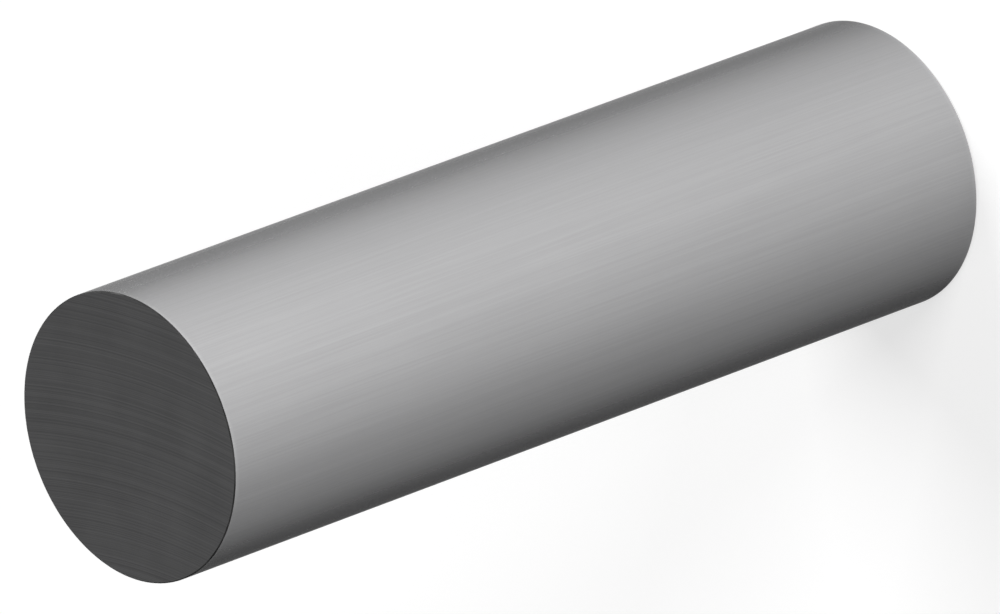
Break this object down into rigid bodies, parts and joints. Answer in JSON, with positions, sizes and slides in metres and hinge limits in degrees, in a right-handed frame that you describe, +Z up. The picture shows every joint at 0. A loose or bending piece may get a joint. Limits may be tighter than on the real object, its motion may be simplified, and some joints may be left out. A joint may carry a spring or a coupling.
{
  "type": "round metal bar",
  "caption": "Short cut length of solid round metal bar with square-cut ends and a fine edge break on each rim, standing on its end.",
  "frame": {"origin": "centre of the bottom end face, on the floor that the bar stands on", "axes": "+Z up along the bar's axis; the bar is the same from every side and from either end"},
  "size_m": [0.05, 0.05, 0.175],
  "materials": {
    "drawn_steel": "satin grey drawn steel with fine marks along the bar, and darker matt sawn ends"
  },
  "bodies": {
    "root": {"round_bar": "drawn_steel"}
  },
  "joints": []
}
